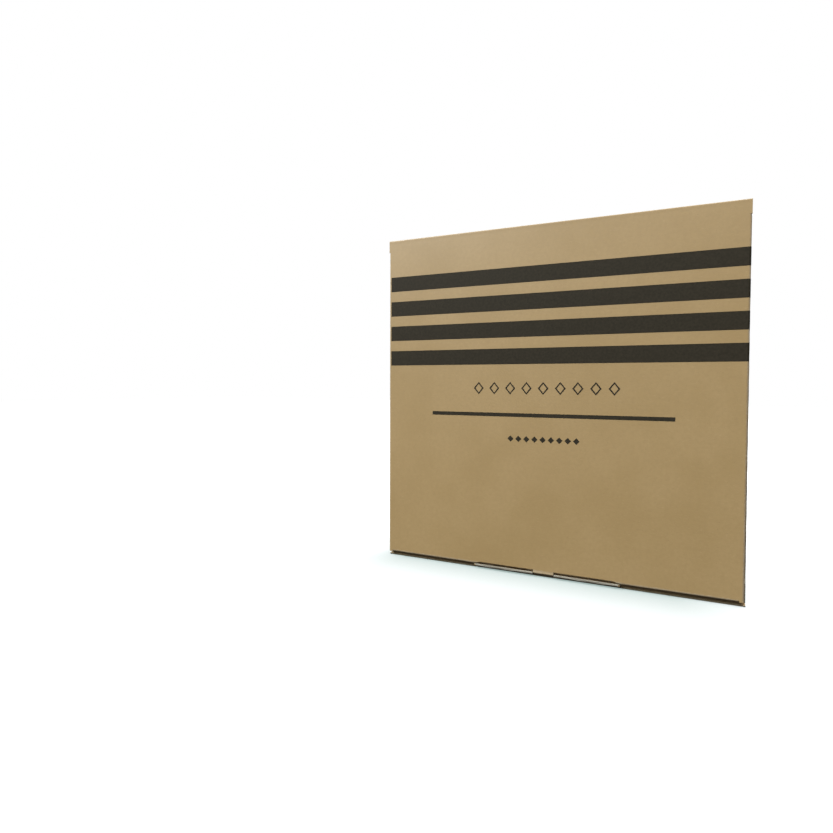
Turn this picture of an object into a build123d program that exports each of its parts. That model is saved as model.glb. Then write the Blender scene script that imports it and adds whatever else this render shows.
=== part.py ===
"""Kraft pizza box, shut and standing on its front wall. Lengths are in millimetres.

X runs along the box's width, Y from the lid's face to the bottom panel, and Z up from the front
wall to the rear crease, where the lid swings. Y and X are zero in the middle of the box.
"""
import os
from math import tan, radians

from build123d import *

os.makedirs("parts", exist_ok=True)

# Outside of the folded tray
box_width = 330.0
box_length = 330.0
box_depth = 35.0

# Board: fine-flute corrugated, folded with rounded creases
board = 1.5
crease_radius = 1.8
ply_gap = 0.1
fit = 0.3
overrun = 5.0

# Tray
side_drop = 8.0
wave_height = 2.0
crest_drop = 0.3
wave_pitch = 19.5
wave_end_margin = 8.0
corner_flap = 34.0
corner_flap_radius = 9.0
tab_width = 59.5
tab_corner = 2.5
bridge_width = 19.0
foot_tab_width = 46.0

# Lid
lid_taper = 1.2
tuck_depth = 27.0
tuck_lean = 3.5
tuck_end_margin = 3.5
tuck_end_slant = 9.0
tuck_root = 5.0
tuck_corner = 10.0
side_flap_depth = 26.0
side_flap_rear_depth = 4.0
side_flap_lean = 9.0
side_flap_rear_margin = 12.0
side_flap_slant = 6.0
side_flap_corner = 9.0
notch_height = 2.3
notch_depth = 3.4
notch_taper = 7.0
bridge_drop = 1.3
bridge_depth = 2.6

# Print on the lid, measured down from the rear crease
ink = 0.1
stripe_height = 15.0
stripe_pitch = 25.55
stripe_count = 4
stripe_start = 38.1
stripe_left_margin = 2.4
stripe_lap = 0.5
print_shift = -1.6
rule_length = 225.0
rule_height = 3.5
rule_drop = 178.0
lozenge_width = 10.0
lozenge_height = 12.0
lozenge_line = 1.7
lozenge_pitch = 15.8
lozenge_count = 9
lozenge_drop = 152.6
small_lozenge = 4.2
small_lozenge_pitch = 7.7
small_lozenge_count = 9
small_lozenge_drop = 200.5

# Places that follow from the sizes above
face_y = -box_depth / 2
back_y = box_depth / 2
foot_y = back_y - board - fit
side_edge_y = face_y + side_drop
front_wall = 3 * board + 2 * ply_gap
inner_ply_z = front_wall - board
flap_z = board + ply_gap
fold_y = face_y + front_wall
side_start = flap_z + crease_radius
side_end = box_length - side_start
tab_centre = (bridge_width + tab_width) / 2
hinge_y = face_y + board / 2
hinge_z = box_length - board / 2
lid_edge_z = front_wall + fit
lid_length = box_length - lid_edge_z
half_board = board / 2
bend = crease_radius - half_board


def lid_half_width(z):
    """Half the lid's width at a height: the full box at the rear crease, less the taper at the front."""
    return box_width / 2 - lid_taper * (box_length - z) / lid_length


with BuildPart() as tray:
    # One strip of board runs down the rear wall, along the bottom panel and the front wall's outer
    # ply, over the fold strip and back as the inner ply. The line is the middle of the board.
    with BuildSketch(Plane.YZ) as length_section:
        with BuildLine() as length_line:
            FilletPolyline(
                (face_y + board + fit, box_length - half_board),
                (back_y - half_board, box_length - half_board),
                (back_y - half_board, half_board),
                (fold_y + half_board, half_board),
                (fold_y + half_board, front_wall - half_board),
                (foot_y, front_wall - half_board),
                radius=bend,
            )
        trace(line_width=board)
    extrude(amount=box_width / 2, both=True)

    # The fold strip and the inner ply are cut shorter, to go between the side walls.
    ply_middle_y = (fold_y + foot_y) / 2
    with BuildSketch(Plane.XY.offset(board)) as ply_ends:
        with Locations((-box_width / 2, ply_middle_y), (box_width / 2, ply_middle_y)):
            Rectangle(2 * (board + fit), foot_y - fold_y)
    extrude(amount=front_wall, mode=Mode.SUBTRACT)

    # The bottom panel stops short of its long edges, where the side walls bring their creases.
    with BuildSketch(Plane.XY.offset(side_start)) as panel_edges:
        with GridLocations(box_width, 0, 2, 1):
            Rectangle(2 * crease_radius, 2 * box_depth)
    extrude(amount=side_end - side_start, mode=Mode.SUBTRACT)

    # Side walls, folded up from the bottom panel.
    with BuildSketch(Plane.XY.offset(side_start)) as width_section:
        with BuildLine() as width_line:
            FilletPolyline(
                (-box_width / 2 + half_board, side_edge_y),
                (-box_width / 2 + half_board, back_y - half_board),
                (box_width / 2 - half_board, back_y - half_board),
                (box_width / 2 - half_board, side_edge_y),
                radius=bend,
            )
        trace(line_width=board)
    extrude(amount=side_end - side_start)

    # Corner flaps, folded in at both ends of each side wall. The front ones lie between the plies.
    with BuildSketch(Plane.XZ.offset(-foot_y)) as side_section:
        with BuildLine() as side_line:
            FilletPolyline(
                (box_width / 2 - corner_flap, flap_z + half_board),
                (box_width / 2 - half_board, flap_z + half_board),
                (box_width / 2 - half_board, box_length - flap_z - half_board),
                (box_width / 2 - corner_flap, box_length - flap_z - half_board),
                radius=bend,
            )
        trace(line_width=board)
        mirror(about=Plane.YZ)
    extrude(amount=foot_y - side_edge_y)
    flap_ends = tray.edges().filter_by(Axis.Z).filter_by_position(
        Axis.X, -box_width / 2 + corner_flap - fit, box_width / 2 - corner_flap + fit
    )
    flap_ends = flap_ends.filter_by_position(Axis.Y, side_edge_y - fit, side_edge_y + fit)
    fillet(flap_ends, radius=corner_flap_radius)

    # Wave-cut free edges of the side walls. The crests stay a little below the straight ends.
    wave_count = int((box_length - 2 * (side_start + wave_end_margin)) // wave_pitch)
    wave_start = (box_length - wave_count * wave_pitch) / 2
    wave_end = box_length - wave_start
    wave_points = [(side_edge_y, wave_start)]
    for i in range(wave_count):
        valley_z = wave_start + (i + 1 / 2) * wave_pitch
        wave_points.append((side_edge_y + wave_height, valley_z))
        wave_points.append((side_edge_y + crest_drop, valley_z + wave_pitch / 2))
    wave_points[-1] = (side_edge_y, wave_end)
    with BuildSketch(Plane.YZ) as wave_cut:
        with BuildLine():
            Spline(*wave_points)
            Polyline(
                (side_edge_y, wave_end),
                (side_edge_y - overrun, wave_end),
                (side_edge_y - overrun, wave_start),
                (side_edge_y, wave_start),
            )
        make_face()
    extrude(amount=box_width, both=True, mode=Mode.SUBTRACT)

    # Under each lock tab the fold strip is open, because the tab is cut out of it.
    with BuildSketch(Plane.XY) as strip_window:
        with Locations((-tab_centre, fold_y), (tab_centre, fold_y)):
            Rectangle(tab_width, 2 * crease_radius)
    extrude(amount=inner_ply_z, mode=Mode.SUBTRACT)

    # Lock tabs: the inner ply runs on past the fold, up to the lid's face.
    tab_root_y = fold_y + crease_radius
    with BuildSketch(Plane.XY.offset(inner_ply_z)) as lock_tab:
        with Locations((tab_centre, (face_y + tab_root_y) / 2)):
            Rectangle(tab_width - 2 * fit, tab_root_y - face_y)
        fillet(lock_tab.vertices().group_by(Axis.Y)[0].sort_by(Axis.X)[-1], radius=tab_corner)
        mirror(about=Plane.YZ)
    extrude(amount=board)

    # Foot tabs of the inner ply, in their slots through the bottom panel.
    with BuildSketch(Plane.XZ.offset(-back_y)) as foot_slots:
        with Locations((-tab_centre, front_wall - half_board), (tab_centre, front_wall - half_board)):
            Rectangle(foot_tab_width + 2 * fit, board + 2 * fit)
    extrude(amount=board, mode=Mode.SUBTRACT)
    with BuildSketch(Plane.XZ.offset(-back_y)) as foot_tabs:
        with Locations((-tab_centre, front_wall - half_board), (tab_centre, front_wall - half_board)):
            Rectangle(foot_tab_width, board)
    extrude(amount=back_y - foot_y)

# Tuck flap at the front of the lid. It leans in, so that its tip clears the front wall as it swings.
tuck_half = lid_half_width(lid_edge_z) - tuck_end_margin
tuck_tip_y = face_y + tuck_depth
with BuildPart() as tuck_flap:
    with BuildSketch(Plane.YZ) as tuck_section:
        with BuildLine() as tuck_line:
            FilletPolyline(
                (face_y + half_board, lid_edge_z + 2 * crease_radius),
                (face_y + half_board, lid_edge_z + half_board),
                (tuck_tip_y, lid_edge_z + half_board + tuck_depth * tan(radians(tuck_lean))),
                radius=bend,
            )
        trace(line_width=board)
    extrude(amount=tuck_half, both=True)
    with BuildSketch(Plane.XY.offset(lid_edge_z - overrun)) as tuck_outline:
        with BuildLine():
            Polyline(
                (-tuck_half, face_y),
                (tuck_half, face_y),
                (tuck_half, face_y + tuck_root),
                (tuck_half - tuck_end_slant, tuck_tip_y),
                (tuck_end_slant - tuck_half, tuck_tip_y),
                (-tuck_half, face_y + tuck_root),
                close=True,
            )
        make_face()
        fillet(tuck_outline.vertices().group_by(Axis.Y)[-1], radius=tuck_corner)
    extrude(amount=tuck_depth + overrun, mode=Mode.INTERSECT)

# Side flap of the lid: deep at the front, shallow near the crease, and folded a little past square.
flap_rear_z = box_length - side_flap_rear_margin
edge_line = Plane(
    origin=(lid_half_width(lid_edge_z), face_y, lid_edge_z),
    x_dir=(0, 1, 0),
    z_dir=(lid_taper, 0, lid_length),
)
with BuildPart() as side_flap:
    with BuildSketch(edge_line) as side_flap_section:
        with BuildLine() as side_flap_line:
            FilletPolyline(
                (half_board, 2 * crease_radius),
                (half_board, half_board),
                (half_board + side_flap_depth, half_board + side_flap_depth * tan(radians(side_flap_lean))),
                radius=bend,
            )
        trace(line_width=board)
    extrude(amount=lid_length)
    with BuildSketch(Plane.YZ) as side_flap_outline:
        with BuildLine():
            Polyline(
                (face_y, lid_edge_z),
                (face_y, flap_rear_z),
                (face_y + side_flap_rear_depth, flap_rear_z - side_flap_slant),
                (face_y + side_flap_depth, lid_edge_z + side_flap_slant),
                close=True,
            )
        make_face()
        fillet(side_flap_outline.vertices().group_by(Axis.X)[-1], radius=side_flap_corner)
    extrude(amount=box_width, mode=Mode.INTERSECT)

with BuildPart() as lid:
    # Panel, with its corners and rear edge square and the two lines of the folds left open.
    with BuildSketch(Plane.XZ.offset(-face_y - board)) as panel:
        with BuildLine():
            Polyline(
                (-lid_half_width(hinge_z), hinge_z),
                (lid_half_width(hinge_z), hinge_z),
                (lid_half_width(flap_rear_z), flap_rear_z),
                (lid_half_width(flap_rear_z) - crease_radius, flap_rear_z),
                (lid_half_width(lid_edge_z) - crease_radius, lid_edge_z),
                (tuck_half, lid_edge_z),
                (tuck_half, lid_edge_z + crease_radius),
                (-tuck_half, lid_edge_z + crease_radius),
                (-tuck_half, lid_edge_z),
                (crease_radius - lid_half_width(lid_edge_z), lid_edge_z),
                (crease_radius - lid_half_width(flap_rear_z), flap_rear_z),
                (-lid_half_width(flap_rear_z), flap_rear_z),
                close=True,
            )
        make_face()
    extrude(amount=board)
    add(tuck_flap.part)
    add(side_flap.part)
    add(side_flap.part.mirror(Plane.YZ))

    # The rear crease is a full round, and the lid swings about its middle.
    with BuildSketch(Plane.YZ) as rear_crease:
        with Locations((hinge_y, hinge_z)):
            Circle(half_board)
    extrude(amount=box_width / 2, both=True)

    # Lock slots, cut through the front crease. They run out to a point at their outer ends.
    with BuildSketch(Plane.XZ.offset(-face_y - notch_depth)) as lock_slot:
        with BuildLine():
            Polyline(
                (bridge_width / 2, lid_edge_z - overrun),
                (bridge_width / 2, lid_edge_z + notch_height),
                (bridge_width / 2 + tab_width - notch_taper, lid_edge_z + notch_height),
                (bridge_width / 2 + tab_width, lid_edge_z),
                (bridge_width / 2 + tab_width, lid_edge_z - overrun),
                close=True,
            )
        make_face()
        mirror(about=Plane.YZ)
    extrude(amount=notch_depth + overrun, mode=Mode.SUBTRACT)

    # Between the slots the crease is short and hangs a little lower.
    with BuildSketch(Plane.YZ) as bridge:
        with Locations((face_y + bridge_depth / 2, lid_edge_z)):
            Rectangle(bridge_depth, 2 * bridge_drop)
        fillet(bridge.vertices().group_by(Axis.X)[0].sort_by(Axis.Y)[0], radius=bridge_drop)
    extrude(amount=bridge_width / 2, both=True)

# Where the stripes run over the right edge of the lid, the ink follows the crease's round.
round_start = half_board + bend / tan(radians((90 - side_flap_lean) / 2))
with BuildPart() as stripe_ends:
    with BuildSketch(edge_line) as wrap_section:
        with BuildLine() as wrap_line:
            Line((-ink / 2, round_start + stripe_lap), (-ink / 2, round_start))
            CenterArc((crease_radius, round_start), crease_radius + ink / 2, 180, 90)
        trace(line_width=ink)
    extrude(amount=lid_length)
    with BuildSketch(Plane.XZ) as stripe_heights:
        for i in range(stripe_count):
            middle_z = box_length - stripe_start - i * stripe_pitch - stripe_height / 2
            with Locations((box_width / 2, middle_z)):
                Rectangle(box_width, stripe_height)
    extrude(amount=box_depth, both=True, mode=Mode.INTERSECT)

# Stripes: plain bands of ink, from just inside the left edge of the lid to over the right one.
with BuildPart() as stripes:
    with BuildSketch(Plane.XZ.offset(-face_y)) as bands:
        for i in range(stripe_count):
            top_z = box_length - stripe_start - i * stripe_pitch
            low_z = top_z - stripe_height
            with BuildLine():
                Polyline(
                    (stripe_left_margin - lid_half_width(top_z), top_z),
                    (lid_half_width(top_z) - round_start, top_z),
                    (lid_half_width(low_z) - round_start, low_z),
                    (stripe_left_margin - lid_half_width(low_z), low_z),
                    close=True,
                )
            make_face()
    extrude(amount=ink)
    add(stripe_ends.part)

# Thin rule below the stripes.
with BuildPart() as rule:
    with BuildSketch(Plane.XZ.offset(-face_y)) as rule_band:
        with Locations((print_shift, box_length - rule_drop)):
            Rectangle(rule_length, rule_height)
    extrude(amount=ink)

# Two rows of plain lozenges, open ones above the rule and small full ones below it.
with BuildPart() as lozenges:
    with BuildSketch(Plane.XZ.offset(-face_y)) as rows:
        with Locations((print_shift, box_length - lozenge_drop)):
            with GridLocations(lozenge_pitch, 0, lozenge_count, 1):
                Polygon(
                    (lozenge_width / 2, 0), (0, lozenge_height / 2),
                    (-lozenge_width / 2, 0), (0, -lozenge_height / 2),
                )
                Polygon(
                    (lozenge_width / 2 - lozenge_line, 0), (0, lozenge_height / 2 - lozenge_line),
                    (lozenge_line - lozenge_width / 2, 0), (0, lozenge_line - lozenge_height / 2),
                    mode=Mode.SUBTRACT,
                )
        with Locations((print_shift, box_length - small_lozenge_drop)):
            with GridLocations(small_lozenge_pitch, 0, small_lozenge_count, 1):
                Rectangle(small_lozenge, small_lozenge, rotation=45)
    extrude(amount=ink)

tray.part.label = "tray"
lid.part.label = "lid"
stripes.part.label = "lid_stripes"
rule.part.label = "lid_rule"
lozenges.part.label = "lid_lozenges"
for piece in (tray, lid, stripes, rule, lozenges):
    export_step(piece.part, f"parts/{piece.part.label}.step")
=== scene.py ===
"""Kraft pizza box, shut and standing on its front wall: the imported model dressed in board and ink."""

import bpy
import numpy as np
from math import cos, pi, radians, sin
from mathutils import Euler, Matrix, Vector


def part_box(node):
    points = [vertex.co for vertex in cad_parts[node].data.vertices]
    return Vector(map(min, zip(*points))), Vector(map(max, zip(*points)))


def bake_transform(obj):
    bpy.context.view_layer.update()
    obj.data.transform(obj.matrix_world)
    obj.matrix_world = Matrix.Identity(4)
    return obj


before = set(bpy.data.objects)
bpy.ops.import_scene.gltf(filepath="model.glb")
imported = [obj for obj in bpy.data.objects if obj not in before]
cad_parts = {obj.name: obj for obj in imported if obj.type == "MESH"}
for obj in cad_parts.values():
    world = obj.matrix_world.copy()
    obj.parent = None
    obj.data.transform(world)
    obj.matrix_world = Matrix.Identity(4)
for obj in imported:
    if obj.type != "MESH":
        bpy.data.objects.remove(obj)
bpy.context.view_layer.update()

# TRAY
# One sheet of fine-flute board, brown kraft on both faces, folded up on its creases and locked
# at the front without glue. Its outer faces are plain and its cut edges show the flutes.

# All sizes of the box are in millimetres. The outside of the tray comes from the frame.
MILLIMETRE = 0.001
tray_low, tray_high = (np.round(np.array(corner) / MILLIMETRE, 2).tolist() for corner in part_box("tray"))
BOX_HALF, BACK_Y, BOX_LENGTH = tray_high
FACE_Y = tray_low[1]

# The board is two liners with the medium between them, which swings from one to the other. The paling
# of a crease, by worn fibres and a painted highlight, reaches further, and is stronger, in some places than
# in others.
BOARD = 1.5
LINER = 0.2
FLUTE_PITCH = 3.4
MEDIUM_SWING = BOARD / 2 - LINER
MEDIUM_HALF_THICKNESS = 0.16
MEDIUM_BLUR = 0.1
LINER_BLUR = 0.04
WASHBOARD_HEIGHT = 0.004
CUT_RELIEF = 0.25
CREASE_REACH = (2.3, 3.1)
CREASE_STRENGTH = (0.3, 0.55)

# The share of the paper's light in a hollow, the span that most of a noise lies in, and the cosines
# from which a face counts as level, or as facing the way that a cut edge does
HOLLOW_LIGHT = 0.3
NOISE_SPAN = (0.3, 0.7)
NEARLY_UP = 0.7
NEARLY_FACING = 0.75


def paint(red, green, blue):
    """A colour as it is seen on a screen, 0 to 255 a channel, turned into the linear one that nodes use."""
    share = np.array([red, green, blue]) / 255
    linear = np.where(share < 0.04045, share / 12.92, ((share + 0.055) / 1.055) ** 2.4)
    return (*linear.tolist(), 1.0)


KRAFT, KRAFT_LIGHT = paint(168, 141, 95), paint(175, 148, 103)
KRAFT_MOTTLE = paint(162, 135, 90)
# Rubbed creases are paled, partly by worn fibres and partly by a painted highlight.
LONG_FIBRE = paint(188, 163, 121)
BARK_SPECK = paint(112, 86, 54)
RUBBED_AND_HIGHLIT_CREASE = paint(206, 193, 168)
# The open flute hollows of a cut edge are painted dark, as shade.
FLUTE_HOLLOW_SHADE = paint(70, 58, 42)
CUT_PAPER, CUT_PAPER_LIGHT = paint(168, 163, 149), paint(190, 185, 171)


def place(tree, kind, inputs=None, **settings):
    """Adds a node to a tree. The settings are its own fields, the inputs its sockets' values or links."""
    node = tree.nodes.new(kind)
    for field, value in settings.items():
        setattr(node, field, value)
    for socket, value in (inputs or {}).items():
        if isinstance(value, bpy.types.NodeSocket):
            tree.links.new(value, node.inputs[socket])
        else:
            node.inputs[socket].default_value = value
    return node


def maths(tree, operation, *values):
    """A Math node's output for one to three numbers or links."""
    return place(tree, "ShaderNodeMath", dict(enumerate(values)), operation=operation).outputs[0]


def combine(tree, operation, first, second):
    """A Vector Math node for two vectors."""
    return place(tree, "ShaderNodeVectorMath", {0: first, 1: second}, operation=operation).outputs


def along(tree, point, direction):
    """How far a point lies along a direction: their dot product."""
    return combine(tree, "DOT_PRODUCT", point, direction)["Value"]


def split(tree, vector):
    """The X, Y and Z of a vector."""
    return place(tree, "ShaderNodeSeparateXYZ", {0: vector}).outputs


def ramp(tree, value, low, high, to_low=0.0, to_high=1.0):
    """A smooth step of a value from one level to another."""
    levels = {"From Min": low, "From Max": high, "To Min": to_low, "To Max": to_high}
    node = place(tree, "ShaderNodeMapRange", {"Value": value, **levels}, interpolation_type="SMOOTHSTEP")
    return node.outputs["Result"]


def noise(tree, point, scale, detail=2.0, roughness=0.5, stretch=(1, 1, 1)):
    """Soft noise of 0 to 1 about a half. Its grains are 1 / scale millimetres, times the stretch."""
    squeezed = combine(tree, "MULTIPLY", point, tuple(1 / s for s in stretch))[0]
    grains = {"Vector": squeezed, "Scale": scale, "Detail": detail, "Roughness": roughness}
    return place(tree, "ShaderNodeTexNoise", grains).outputs["Fac"]


def blend_colour(tree, share, first, second):
    """The first colour where the share is 0 and the second where it is 1."""
    return place(tree, "ShaderNodeMix", {0: share, 6: first, 7: second}, data_type="RGBA").outputs[2]


def group(name, inputs, outputs):
    """An empty shader group with sockets of the named kinds, its input node and its output node."""
    tree = bpy.data.node_groups.new(name, "ShaderNodeTree")
    kinds = {"number": "NodeSocketFloat", "vector": "NodeSocketVector", "colour": "NodeSocketColor"}
    for in_out, sockets in (("INPUT", inputs), ("OUTPUT", outputs)):
        for socket, kind in sockets.items():
            tree.interface.new_socket(socket, in_out=in_out, socket_type=kinds[kind])
    return tree, tree.nodes.new("NodeGroupInput").outputs, tree.nodes.new("NodeGroupOutput").inputs


def use(tree, shared, inputs):
    """Places a shared group in a tree and gives its outputs."""
    return place(tree, "ShaderNodeGroup", inputs, node_tree=shared).outputs


def kraft_group():
    """Brown kraft liner. Clouds and mottle vary its tone, long fibres fleck it light and dark, and the
    flutes behind it leave a trace of washboard. All of it depends on the place in millimetres alone."""
    tree, given, made = group(
        "kraft liner",
        {"Point": "vector", "Normal": "vector"},
        {"Color": "colour", "Height": "number", "Roughness": "number"},
    )
    point = given["Point"]
    clouds = noise(tree, point, scale=0.02, detail=3, roughness=0.55)
    mottle = noise(tree, point, scale=0.28, detail=4, roughness=0.62)
    fibres = noise(tree, point, scale=1.5, detail=3, roughness=0.6, stretch=(4, 1, 1))
    specks = noise(tree, point, scale=2.6, stretch=(2.2, 1, 1))
    grain = noise(tree, point, scale=5.0)
    colour = blend_colour(tree, ramp(tree, clouds, *NOISE_SPAN), KRAFT, KRAFT_LIGHT)
    mottled = ramp(tree, mottle, low=0.35, high=0.7, to_high=0.4)
    flecked = ramp(tree, fibres, low=0.56, high=0.74, to_high=0.4)
    specked = ramp(tree, specks, low=0.66, high=0.76, to_high=0.45)
    for share, tint in ((mottled, KRAFT_MOTTLE), (flecked, LONG_FIBRE), (specked, BARK_SPECK)):
        colour = blend_colour(tree, share, colour, tint)

    # The washboard crosses an upright face upwards, and a level one from front to back.
    upward = maths(tree, "ABSOLUTE", along(tree, given["Normal"], (0, 0, 1)))
    level = maths(tree, "GREATER_THAN", upward, NEARLY_UP)
    ways = {0: level, 2: along(tree, point, (0, 0, 1)), 3: along(tree, point, (0, 1, 0))}
    run = place(tree, "ShaderNodeMix", ways, data_type="FLOAT").outputs[0]
    washboard = maths(tree, "SINE", maths(tree, "MULTIPLY", run, 2 * pi / FLUTE_PITCH))
    height = maths(tree, "MULTIPLY", washboard, WASHBOARD_HEIGHT)
    for bumps, rise in ((fibres, 0.02), (mottle, 0.05), (grain, 0.012)):
        height = maths(tree, "MULTIPLY_ADD", bumps, rise, height)
    tree.links.new(colour, made["Color"])
    tree.links.new(height, made["Height"])
    tree.links.new(ramp(tree, mottle, *NOISE_SPAN, to_low=0.4, to_high=0.46), made["Roughness"])
    return tree


def crease_group():
    """Worn crease with a painted highlight: stretched, rubbed fibres and a highlight painted along the fold
    pale the liner over it, wider in some places.
    """
    tree, given, made = group("worn and highlit crease", {"Point": "vector", "Distance": "number"}, {"Mask": "number"})
    broken = noise(tree, given["Point"], scale=0.5, detail=3, roughness=0.65)
    reach = ramp(tree, broken, 0.3, 0.72, *CREASE_REACH)
    reached = maths(tree, "DIVIDE", given["Distance"], reach)
    near = ramp(tree, reached, low=0.5, high=1.0, to_low=1.0, to_high=0.0)
    strength = ramp(tree, broken, *NOISE_SPAN, *CREASE_STRENGTH)
    tree.links.new(maths(tree, "MULTIPLY", near, strength), made["Mask"])
    return tree


def zone_group():
    """One run of cut edge. Inside the box from Low to High, where the surface faces along Facing, it
    gives how far the point lies from the board's middle, across it, and how far along the edge. The
    values found by the zones before it come in by the sockets of the same names and are kept."""
    found = {"Mask": "number", "Across": "number", "Along": "number"}
    places = ("Point", "Normal", "Low", "High", "Facing", "Middle", "Thickness", "Run")
    tree, given, made = group("cut edge zone", {**dict.fromkeys(places, "vector"), **found}, found)
    margins = []
    for first, second in (("Point", "Low"), ("High", "Point")):
        gap = split(tree, combine(tree, "SUBTRACT", given[first], given[second])[0])
        margins.append(maths(tree, "MINIMUM", maths(tree, "MINIMUM", gap[0], gap[1]), gap[2]))
    inside = maths(tree, "GREATER_THAN", maths(tree, "MINIMUM", *margins), 0.0)
    facing = maths(tree, "ABSOLUTE", along(tree, given["Normal"], given["Facing"]))
    mask = maths(tree, "MULTIPLY", inside, maths(tree, "GREATER_THAN", facing, NEARLY_FACING))
    offset = combine(tree, "SUBTRACT", given["Point"], given["Middle"])[0]
    tree.links.new(maths(tree, "MAXIMUM", given["Mask"], mask), made["Mask"])
    for value, direction in (("Across", "Thickness"), ("Along", "Run")):
        distance = along(tree, offset, given[direction])
        tree.links.new(maths(tree, "MULTIPLY_ADD", mask, distance, given[value]), made[value])
    return tree


def cut_group():
    """Cut board, end on: two thin liners and between them the medium, a sine wave from one liner to the
    other, with the hollows on both sides of it painted dark as shade."""
    tree, given, made = group(
        "cut board",
        {"Point": "vector", "Across": "number", "Along": "number"},
        {"Color": "colour", "Height": "number"},
    )
    wave = maths(tree, "SINE", maths(tree, "MULTIPLY", given["Along"], 2 * pi / FLUTE_PITCH))
    from_wave = maths(tree, "MULTIPLY_ADD", wave, -MEDIUM_SWING, given["Across"])
    from_medium = maths(tree, "ABSOLUTE", from_wave)
    medium_end = MEDIUM_HALF_THICKNESS + MEDIUM_BLUR
    medium = ramp(tree, from_medium, MEDIUM_HALF_THICKNESS, medium_end, to_low=1.0, to_high=0.0)
    from_middle = maths(tree, "ABSOLUTE", given["Across"])
    liner = ramp(tree, from_middle, MEDIUM_SWING - LINER_BLUR, MEDIUM_SWING + LINER_BLUR)
    paper = maths(tree, "MAXIMUM", medium, liner)
    frayed = noise(tree, given["Point"], scale=3.0, roughness=0.6)
    pale = blend_colour(tree, ramp(tree, frayed, *NOISE_SPAN), CUT_PAPER, CUT_PAPER_LIGHT)
    light = maths(tree, "MULTIPLY_ADD", paper, 1 - HOLLOW_LIGHT, HOLLOW_LIGHT)
    colour = blend_colour(tree, light, FLUTE_HOLLOW_SHADE, pale)
    tree.links.new(colour, made["Color"])
    tree.links.new(maths(tree, "MULTIPLY", paper, CUT_RELIEF), made["Height"])
    return tree


kraft_liner = kraft_group()
worn_and_highlit_crease = crease_group()
cut_edge_zone = zone_group()
cut_board = cut_group()


def empty_tree(holder):
    """The node tree of a material or a world, with nothing in it yet."""
    holder.use_nodes = True
    holder.node_tree.nodes.clear()
    return holder.node_tree


def surface_point(tree):
    """The point on the surface in millimetres, and the way the surface faces there."""
    metres = place(tree, "ShaderNodeTexCoord").outputs["Object"]
    point = place(tree, "ShaderNodeVectorMath", {0: metres, "Scale": 1 / MILLIMETRE}, operation="SCALE")
    return point.outputs[0], place(tree, "ShaderNodeNewGeometry").outputs["True Normal"]


def paper_surface(tree, colour, roughness, height, relief, gloss):
    """The finished surface of paper or ink. Its height is in millimetres, its relief the bump's share."""
    bump = place(tree, "ShaderNodeBump", {"Strength": relief, "Distance": MILLIMETRE, "Height": height})
    look = {"Base Color": colour, "Roughness": roughness, "Normal": bump.outputs[0]}
    shader = place(tree, "ShaderNodeBsdfPrincipled", {**look, "Specular IOR Level": gloss})
    place(tree, "ShaderNodeOutputMaterial", {"Surface": shader.outputs[0]})


def board_material(name, crease_distance, zones):
    """Kraft board in one material: the liner, its creases, paled by worn fibres and a painted highlight,
    and its cut edges. The distance is a function of the tree and the point in millimetres; each zone is a
    set of the zone group's inputs."""
    material = bpy.data.materials.new(name)
    tree = empty_tree(material)
    point, normal = surface_point(tree)
    x, y, z = split(tree, point)
    side = maths(tree, "ABSOLUTE", x)
    mirrored = place(tree, "ShaderNodeCombineXYZ", {0: side, 1: y, 2: z}).outputs[0]

    liner = use(tree, kraft_liner, {"Point": point, "Normal": normal})
    distance = crease_distance(tree, side, y, z)
    wear_and_highlight = use(tree, worn_and_highlit_crease, {"Point": point, "Distance": distance})["Mask"]
    # The folds are paled, partly by worn fibres and partly by a painted highlight along them.
    colour = blend_colour(tree, wear_and_highlight, liner["Color"], RUBBED_AND_HIGHLIT_CREASE)

    found = {"Mask": 0.0, "Across": 0.0, "Along": 0.0}
    for zone in zones:
        outputs = use(tree, cut_edge_zone, {"Point": mirrored, "Normal": normal, **zone, **found})
        found = {value: outputs[value] for value in found}
    cut = use(tree, cut_board, {"Point": point, "Across": found["Across"], "Along": found["Along"]})
    colour = blend_colour(tree, found["Mask"], colour, cut["Color"])
    height = maths(tree, "MULTIPLY_ADD", cut["Height"], found["Mask"], liner["Height"])
    paper_surface(tree, colour, liner["Roughness"], height, relief=0.6, gloss=1.0)
    return material


def fold_distance(tree, first, second):
    """How far a point on either of two faces lies from the fold between them: the larger of its
    distances from the two faces."""
    return maths(tree, "MAXIMUM", first, second)


# The front wall is three layers of board. The lock tabs are cut out of the top one.
PLY_GAP = 0.1
FIT = 0.3
FRONT_WALL = 3 * BOARD + 2 * PLY_GAP
FOLD_Y = FACE_Y + FRONT_WALL


def tray_creases(tree, side, y, z):
    """The nearest of the tray's folds: round the bottom panel and over the front wall."""
    from_side = maths(tree, "SUBTRACT", BOX_HALF, side)
    from_back = maths(tree, "SUBTRACT", BACK_Y, y)
    from_top = maths(tree, "SUBTRACT", BOX_LENGTH, z)
    from_fold = maths(tree, "SUBTRACT", y, FOLD_Y)
    nearest = fold_distance(tree, from_side, from_back)
    for first, second in ((from_top, from_back), (z, from_back), (z, from_fold)):
        nearest = maths(tree, "MINIMUM", nearest, fold_distance(tree, first, second))
    return nearest


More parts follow.
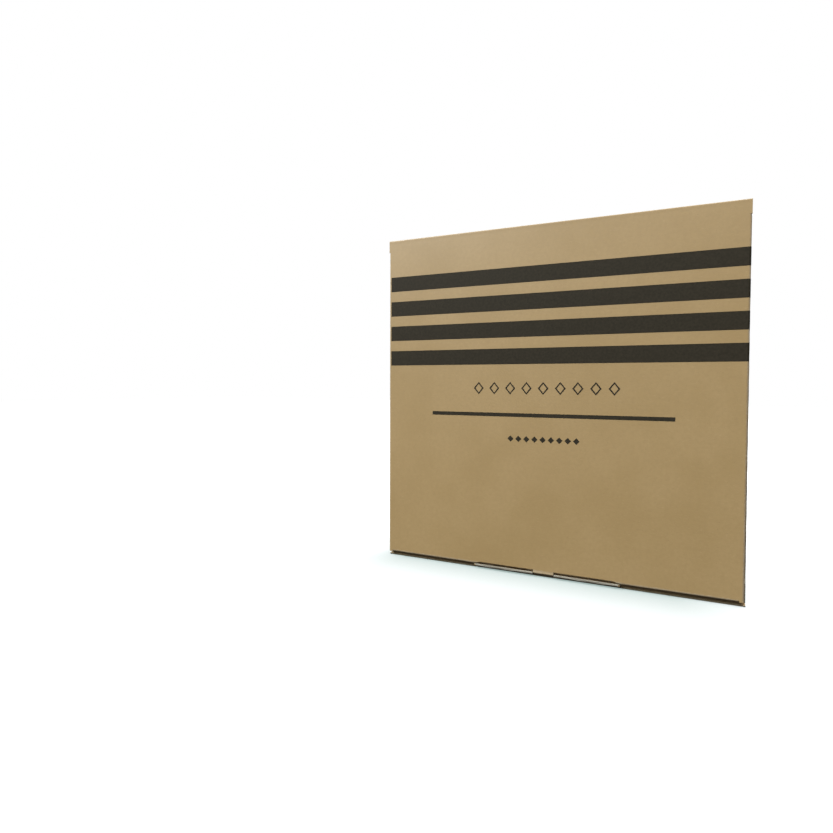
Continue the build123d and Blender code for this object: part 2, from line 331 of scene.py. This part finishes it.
# Where the cut edges of the tray lie. A zone reaches a margin past its edge. A cut that runs along
# the flutes follows one of them, so its wave is drawn out.
MARGIN = 0.1
ALONG_FLUTES = 0.06
SIDE_DROP = 8.0
SIDE_EDGE_Y = FACE_Y + SIDE_DROP
WAVE_HEIGHT = 2.0
WALL_INSIDE = BOX_HALF - BOARD - MARGIN
WALL_MIDDLE = BOX_HALF - BOARD / 2
CORNER_FLAP = 34.0
CORNER_FLAP_Z = BOX_LENGTH - 2 * BOARD - PLY_GAP
BRIDGE_HALF = 9.5
TAB_WIDTH = 59.5
TAB_START = BRIDGE_HALF + FIT
TAB_END = BRIDGE_HALF + TAB_WIDTH - FIT
TAB_Z = FRONT_WALL - BOARD
TAB_MIDDLE_Z = FRONT_WALL - BOARD / 2
TAB_CUT_LENGTH = 6.0
# The lower part of each lock tab's tip is painted in shade, and a band on its top is painted as a
# highlight.
TIP_SHADE_SHIFT = 0.45
TIP_HIGHLIGHT_DEPTH = 1.7

TRAY_CUTS = [
    # wave-cut free edges of the side walls
    dict(
        Low=(WALL_INSIDE, SIDE_EDGE_Y - 2 * MARGIN, 2 * BOARD),
        High=(BOX_HALF + MARGIN, SIDE_EDGE_Y + WAVE_HEIGHT + 2 * MARGIN, BOX_LENGTH - 2 * BOARD),
        Facing=(0, 1, 0), Middle=(WALL_MIDDLE, 0, 0), Thickness=(1, 0, 0), Run=(0, 0, 1),
    ),
    # free edges of the rear corner flaps
    dict(
        Low=(BOX_HALF - CORNER_FLAP - MARGIN, SIDE_EDGE_Y - 2 * MARGIN, CORNER_FLAP_Z - MARGIN),
        High=(WALL_INSIDE, 0, CORNER_FLAP_Z + BOARD + MARGIN),
        Facing=(0, 1, 0), Middle=(0, 0, CORNER_FLAP_Z + BOARD / 2), Thickness=(0, 0, 1), Run=(1, 0, 0),
    ),
    # ends of the rear wall
    dict(
        Low=(BOX_HALF - MARGIN, FACE_Y + BOARD - MARGIN, BOX_LENGTH - BOARD - MARGIN),
        High=(BOX_HALF + MARGIN, BACK_Y - BOARD, BOX_LENGTH + MARGIN),
        Facing=(1, 0, 0), Middle=(0, 0, BOX_LENGTH - BOARD / 2), Thickness=(0, 0, 1), Run=(0, 1, 0),
    ),
    # ends of the front wall's outer ply
    dict(
        Low=(BOX_HALF - MARGIN, FOLD_Y - MARGIN, -MARGIN),
        High=(BOX_HALF + MARGIN, BACK_Y - BOARD, BOARD + MARGIN),
        Facing=(1, 0, 0), Middle=(0, 0, BOARD / 2), Thickness=(0, 0, 1), Run=(0, 1, 0),
    ),
    # sides of the lock tabs
    dict(
        Low=(TAB_START - MARGIN, FACE_Y - MARGIN, TAB_Z - MARGIN),
        High=(TAB_END + MARGIN, FACE_Y + TAB_CUT_LENGTH, FRONT_WALL + MARGIN),
        Facing=(1, 0, 0), Middle=(0, 0, TAB_MIDDLE_Z), Thickness=(0, 0, 1), Run=(0, 1, 0),
    ),
    # tips of the lock tabs, along the flutes: the board's middle is set high, so that the lower part of
    # each tip is painted in the hollows' shade
    dict(
        Low=(TAB_START - MARGIN, FACE_Y - MARGIN, TAB_Z - MARGIN),
        High=(TAB_END + MARGIN, FACE_Y + MARGIN, FRONT_WALL + MARGIN),
        Facing=(0, 1, 0), Middle=(0, 0, TAB_MIDDLE_Z - TIP_SHADE_SHIFT), Thickness=(0, 0, 1),
        Run=(ALONG_FLUTES, 0, 0),
    ),
    # and a band of pale cut paper on top of each tab behind its tip, a painted highlight
    dict(
        Low=(TAB_START - MARGIN, FACE_Y - MARGIN, FRONT_WALL - 2 * MARGIN),
        High=(TAB_END + MARGIN, FACE_Y + TIP_HIGHLIGHT_DEPTH, FRONT_WALL + 2 * MARGIN),
        Facing=(0, 0, 1), Middle=(0, 0, FRONT_WALL - MEDIUM_SWING), Thickness=(0, 0, 1),
        Run=(ALONG_FLUTES, 0, 0),
    ),
]

tray_board = board_material("tray board", tray_creases, TRAY_CUTS)
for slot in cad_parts["tray"].material_slots:
    slot.material = tray_board

# LID
# The same sheet of board goes on over the rear crease as the lid. It has a side flap on each long
# edge and a tuck flap at the front, all folded in, and narrows a little to the front.

LID_EDGE_Z = FRONT_WALL + FIT
LID_LENGTH = BOX_LENGTH - LID_EDGE_Z
LID_TAPER = 1.2
FRONT_HALF = BOX_HALF - LID_TAPER
TAPER_SLOPE = LID_TAPER / LID_LENGTH

# The paling of the folds, by worn fibres and a painted highlight, stops short of the corners, and the side
# folds are paled more narrowly.
SIDE_FOLD_END_Z = 316.0
SIDE_FOLD_TIGHTNESS = 1.5
FRONT_FOLD_HALF = 157.0


def lid_creases(tree, side, y, z):
    """The nearest of the lid's folds, paled by rubbing and a painted highlight: its two tapered sides and
    its front edge.
    """
    half_width = maths(tree, "MULTIPLY_ADD", z, TAPER_SLOPE, BOX_HALF - TAPER_SLOPE * BOX_LENGTH)
    from_side = maths(tree, "SUBTRACT", half_width, side)
    from_face = maths(tree, "SUBTRACT", y, FACE_Y)
    from_front = maths(tree, "SUBTRACT", z, LID_EDGE_Z)
    side_fold = maths(tree, "MULTIPLY", fold_distance(tree, from_side, from_face), SIDE_FOLD_TIGHTNESS)
    side_fold = maths(tree, "MAXIMUM", side_fold, maths(tree, "SUBTRACT", z, SIDE_FOLD_END_Z))
    front_fold = fold_distance(tree, from_front, from_face)
    front_fold = maths(tree, "MAXIMUM", front_fold, maths(tree, "SUBTRACT", side, FRONT_FOLD_HALF))
    return maths(tree, "MINIMUM", side_fold, front_fold)


# Where the cut edges of the lid lie
PANEL_INSIDE = FACE_Y + BOARD
REAR_CORNER = 12.0
TUCK_END_MARGIN = 3.5
TUCK_END_SLANT = 9.0
TUCK_ROOT = 4.5
TUCK_DEPTH = 27.0
TUCK_HALF = FRONT_HALF - TUCK_END_MARGIN
TUCK_TIP_HALF = TUCK_HALF - TUCK_END_SLANT
TUCK_TIP_Y = FACE_Y + TUCK_DEPTH
TUCK_CORNER = 10.0
TUCK_END_TURN = radians(26.0)
TUCK_LEAN = radians(3.5)
TUCK_RISE = 4.0
SIDE_FLAP_DEPTH = 26.0
SIDE_FLAP_REACH = 9.8
SIDE_FLAP_END_Z = 312.0
SIDE_FLAP_LEAN = radians(9.0)
SIDE_FLAP_SLANT = radians(4.2)

TUCK_MIDDLE = (0, FACE_Y, LID_EDGE_Z + BOARD / 2)
TUCK_THICKNESS = (0, -sin(TUCK_LEAN), cos(TUCK_LEAN))

LID_CUTS = [
    # square rear corners of the panel
    dict(
        Low=(BOX_HALF - BOARD, FACE_Y - MARGIN, BOX_LENGTH - REAR_CORNER - MARGIN),
        High=(BOX_HALF + MARGIN, PANEL_INSIDE + MARGIN, BOX_LENGTH + MARGIN),
        Facing=(1, 0, 0), Middle=(0, FACE_Y + BOARD / 2, 0), Thickness=(0, 1, 0), Run=(0, 0, 1),
    ),
    # slanted ends of the tuck flap, with their rounded corners
    dict(
        Low=(TUCK_TIP_HALF - 2 * TUCK_CORNER, FACE_Y + TUCK_ROOT, LID_EDGE_Z - MARGIN),
        High=(TUCK_HALF + MARGIN, TUCK_TIP_Y - 2 * MARGIN, LID_EDGE_Z + TUCK_RISE),
        Facing=(cos(TUCK_END_TURN), sin(TUCK_END_TURN), 0), Middle=TUCK_MIDDLE,
        Thickness=TUCK_THICKNESS, Run=(0, 1, 0),
    ),
    # free edge of the tuck flap, along the flutes
    dict(
        Low=(-MARGIN, TUCK_TIP_Y - 2 * MARGIN, LID_EDGE_Z - MARGIN),
        High=(TUCK_TIP_HALF + MARGIN, TUCK_TIP_Y + MARGIN, LID_EDGE_Z + TUCK_RISE),
        Facing=(0, 1, 0), Middle=TUCK_MIDDLE, Thickness=TUCK_THICKNESS, Run=(ALONG_FLUTES, 0, 0),
    ),
    # free edges of the side flaps
    dict(
        Low=(FRONT_HALF - SIDE_FLAP_REACH, PANEL_INSIDE, LID_EDGE_Z),
        High=(FRONT_HALF + 2 * MARGIN, FACE_Y + SIDE_FLAP_DEPTH + MARGIN, SIDE_FLAP_END_Z),
        Facing=(0, cos(SIDE_FLAP_SLANT), sin(SIDE_FLAP_SLANT)),
        Middle=(FRONT_HALF - BOARD / 2, FACE_Y + BOARD / 2, LID_EDGE_Z),
        Thickness=(cos(SIDE_FLAP_LEAN), sin(SIDE_FLAP_LEAN), -TAPER_SLOPE), Run=(0, 0, 1),
    ),
]

lid_board = board_material("lid board", lid_creases, LID_CUTS)
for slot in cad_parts["lid"].material_slots:
    slot.material = lid_board

# REAR CREASE
# The liner of the sheet, where it runs from the lid's face over the rear crease to the rear wall.
# It is the paper hinge of the lid, and lies on the round that the two bodies turn about.

CREASE_ROUND = BOARD / 2
HINGE_Y = FACE_Y + CREASE_ROUND
HINGE_Z = BOX_LENGTH - CREASE_ROUND
RIBBON_LAP = 3.0
RIBBON_THICKNESS = 0.02
RIBBON_END_GAP = 0.05
RIBBON_ROWS = 23
LAP_POINTS, ARC_POINTS = 7, 13
PROUD, SUNK = 0.03, -0.02
RIBBON_RISE = 1.6


def crease_mesh(name):
    """A ribbon across the box whose profile runs up the lid's face, a quarter turn round the hinge line
    and along the rear wall: each point is the radius away from the hinge line, turned by its step, plus
    its run before or after the turn. It stands proud in the middle and sinks in at both ends."""
    arc = 0.5 * pi * CREASE_ROUND
    up_the_face = np.linspace(-RIBBON_LAP, 0, LAP_POINTS)[:-1]
    round_the_hinge = np.linspace(0, arc, ARC_POINTS)
    along_the_wall = np.linspace(arc, arc + RIBBON_LAP, LAP_POINTS)[1:]
    steps = np.concatenate([up_the_face, round_the_hinge, along_the_wall])
    turn = np.clip(steps / CREASE_ROUND, 0, pi / 2)
    before, after = np.minimum(steps, 0), np.maximum(steps - arc, 0)
    middle = np.clip(1 - np.abs(steps - arc / 2) / (RIBBON_LAP + arc / 2), 0, 1)
    lift = SUNK + (PROUD - SUNK) * np.clip(middle * RIBBON_RISE, 0, 1)
    outer = CREASE_ROUND + lift
    inner = np.full_like(outer, CREASE_ROUND + SUNK - RIBBON_THICKNESS)
    profile = []
    for radius in (outer, inner):
        y = HINGE_Y - radius * np.cos(turn) + after
        z = HINGE_Z + radius * np.sin(turn) + before
        profile.append(np.stack([y, z], 1))
    ring = np.concatenate([profile[0], profile[1][::-1]])
    ribbon_half = BOX_HALF - RIBBON_END_GAP
    across = np.linspace(-ribbon_half, ribbon_half, RIBBON_ROWS)
    rows, columns = len(across), len(ring)
    grid = np.empty((rows, columns, 3))
    grid[:, :, 0] = across[:, None]
    grid[:, :, 1:] = ring[None]
    i, j = np.meshgrid(np.arange(rows - 1), np.arange(columns), indexing="ij")
    i, j = i.ravel(), j.ravel()
    k = (j + 1) % columns
    faces = np.stack([i * columns + j, (i + 1) * columns + j, (i + 1) * columns + k, i * columns + k], 1)
    caps = [list(range(columns)), list(range((rows - 1) * columns, rows * columns))[::-1]]
    mesh = bpy.data.meshes.new(name)
    mesh.from_pydata((grid.reshape(-1, 3) * MILLIMETRE).tolist(), [], faces.tolist() + caps)
    mesh.update()
    return mesh


scene = bpy.context.scene
rear_crease = bpy.data.objects.new("rear_crease", crease_mesh("rear_crease"))
scene.collection.objects.link(rear_crease)
rear_crease.data.materials.append(lid_board)
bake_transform(rear_crease)

# PRINT
# Near-black flexo ink in one pass: four stripes over the right edge, a thin rule and two rows of
# lozenges. It is thin enough for the kraft's mottle to show, and pinholes let the paper through.

INK, INK_THIN = paint(46, 42, 33), paint(54, 49, 39)


def ink_material():
    """A film of dark ink: two close blacks clouded together, with pale pinholes where it missed."""
    material = bpy.data.materials.new("print ink")
    tree = empty_tree(material)
    point, normal = surface_point(tree)
    liner = use(tree, kraft_liner, {"Point": point, "Normal": normal})
    mottle = noise(tree, point, scale=0.5, detail=4, roughness=0.6)
    missed = noise(tree, point, scale=3.2, detail=3, roughness=0.6)
    colour = blend_colour(tree, ramp(tree, mottle, *NOISE_SPAN), INK, INK_THIN)
    pinholes = ramp(tree, missed, low=0.68, high=0.78, to_high=0.3)
    colour = blend_colour(tree, pinholes, colour, liner["Color"])
    roughness = ramp(tree, mottle, *NOISE_SPAN, to_low=0.5, to_high=0.6)
    paper_surface(tree, colour, roughness, liner["Height"], relief=0.5, gloss=0.15)
    return material


print_ink = ink_material()
for name in ("lid_stripes", "lid_rule", "lid_lozenges"):
    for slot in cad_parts[name].material_slots:
        slot.material = print_ink

# CAMERA
# At the photograph's viewing angle: a little right of the middle, at half the box's height, close up
# with a wide lens and turned to the left. Its place is in metres and its angles in degrees.

CAMERA_PLACE = (0.13186, -0.55313, 0.17827)
LOOKS_DOWN = 1.112
LOOKS_LEFT = 26.268
LEANS_LEFT = 0.359

lens = bpy.data.cameras.new("camera")
lens.sensor_width = 36.0
lens.lens = 25.125
lens.shift_y = -0.02225
lens.clip_start = 0.01
camera = bpy.data.objects.new("camera", lens)
aim = Euler((radians(90 - LOOKS_DOWN), 0, radians(LOOKS_LEFT))).to_matrix()
lean = Matrix.Rotation(radians(LEANS_LEFT), 3, "Z")
camera.matrix_world = Matrix.Translation(CAMERA_PLACE) @ (aim @ lean).to_4x4()
scene.collection.objects.link(camera)
scene.camera = camera

# FLOOR AND BACKGROUND
# A white table in a white studio. The camera sees plain white, with a cool soft shadow painted round
# the foot of the box, while the box itself is lit by a dark grey floor and a warm sky.

# Sizes in metres. The painted shadow's core is a little shorter than the box's foot, most so at the right.
FLOOR_HALF = 6.0
SHADOW_LEFT, SHADOW_RIGHT = -0.145, 0.11
FOOT_LOW = (SHADOW_LEFT, FACE_Y * MILLIMETRE, 0)
FOOT_HIGH = (SHADOW_RIGHT, BACK_Y * MILLIMETRE, 0)
CORE_TO_RIM, RIM_TO_WHITE = (-0.03, 0.075), (0.06, 0.13)
# Colours of the painted shadow, from its core out to plain white
PAINTED_SHADOW_CORE, PAINTED_SHADOW_RIM, WHITE = (0.28, 0.38, 0.35, 1), (0.7, 0.74, 0.74, 1), (1, 1, 1, 1)
FLOOR_DARK, FLOOR_SEEN = (0.05, 0.05, 0.05, 1), (0.26, 0.26, 0.27, 1)
SKY_COLOUR = (1.0, 0.98, 0.95, 1)
SKY_HEIGHTS, SKY_STRENGTHS = (0.15, 0.9), (0.04, 1.2)

floor_mesh = bpy.data.meshes.new("floor")
corners = [(x * FLOOR_HALF, y * FLOOR_HALF, 0) for x, y in ((-1, -1), (1, -1), (1, 1), (-1, 1))]
floor_mesh.from_pydata(corners, [], [(0, 1, 2, 3)])
floor = bpy.data.objects.new("floor", floor_mesh)
scene.collection.objects.link(floor)

# The painted shadow, which the floor gives off to the camera: its tone follows the distance from the foot
# of the box.
floor_paint = bpy.data.materials.new("floor")
tree = empty_tree(floor_paint)
seen = place(tree, "ShaderNodeLightPath").outputs["Is Camera Ray"]
spot = place(tree, "ShaderNodeTexCoord").outputs["Object"]
foot = combine(tree, "MINIMUM", combine(tree, "MAXIMUM", spot, FOOT_LOW)[0], FOOT_HIGH)[0]
away = combine(tree, "DISTANCE", spot, foot)["Value"]
shadow = blend_colour(tree, ramp(tree, away, *CORE_TO_RIM), PAINTED_SHADOW_CORE, PAINTED_SHADOW_RIM)
shadow = blend_colour(tree, ramp(tree, away, *RIM_TO_WHITE), shadow, WHITE)
lit = place(tree, "ShaderNodeBsdfDiffuse", {"Color": blend_colour(tree, seen, FLOOR_DARK, FLOOR_SEEN)})
glow = place(tree, "ShaderNodeEmission", {"Color": shadow, "Strength": seen})
both = place(tree, "ShaderNodeAddShader", {0: lit.outputs[0], 1: glow.outputs[0]})
place(tree, "ShaderNodeOutputMaterial", {"Surface": both.outputs[0]})
floor_mesh.materials.append(floor_paint)

# The sky brightens from the horizon up.
sky = bpy.data.worlds.new("studio")
tree = empty_tree(sky)
seen = place(tree, "ShaderNodeLightPath").outputs["Is Camera Ray"]
height = split(tree, place(tree, "ShaderNodeTexCoord").outputs["Generated"])[2]
strength = ramp(tree, height, *SKY_HEIGHTS, *SKY_STRENGTHS)
fill = place(tree, "ShaderNodeBackground", {"Color": SKY_COLOUR, "Strength": strength})
white = place(tree, "ShaderNodeBackground", {"Color": WHITE, "Strength": 1.0})
mixed = place(tree, "ShaderNodeMixShader", {0: seen, 1: fill.outputs[0], 2: white.outputs[0]})
place(tree, "ShaderNodeOutputWorld", {"Surface": mixed.outputs[0]})
scene.world = sky

# LIGHT
# Three soft lamps. A cool window stands at the upper left in front, a warm fill high over the front
# and a cool one behind. The front two stand high, so that the lid keeps its own recess dark.


def soft_light(name, at, target, size, watts, colour):
    """A square area light at a place, turned to a target. Both are in metres."""
    lamp = bpy.data.lights.new(name, "AREA")
    lamp.shape = "SQUARE"
    lamp.size = size
    lamp.energy = watts
    lamp.color = colour
    stand = bpy.data.objects.new(name, lamp)
    stand.location = at
    stand.rotation_euler = (Vector(target) - Vector(at)).to_track_quat("-Z", "Y").to_euler()
    scene.collection.objects.link(stand)


COOL, COOL_BACK, WARM = (0.95, 0.99, 1.0), (0.98, 0.99, 1.0), (1.0, 0.98, 0.94)
soft_light("window", at=(-2.1, -2.2, 2.6), target=(0, 0, 0.2), size=1.3, watts=140.0, colour=COOL)
soft_light("fill", at=(1.2, -3.2, 4.6), target=(0.02, 0, 0.1), size=2.4, watts=110.0, colour=WARM)
soft_light("back", at=(1.3, 2.8, 2.4), target=(0, 0, 0.15), size=1.5, watts=125.0, colour=COOL_BACK)

scene.view_settings.view_transform = "Standard"
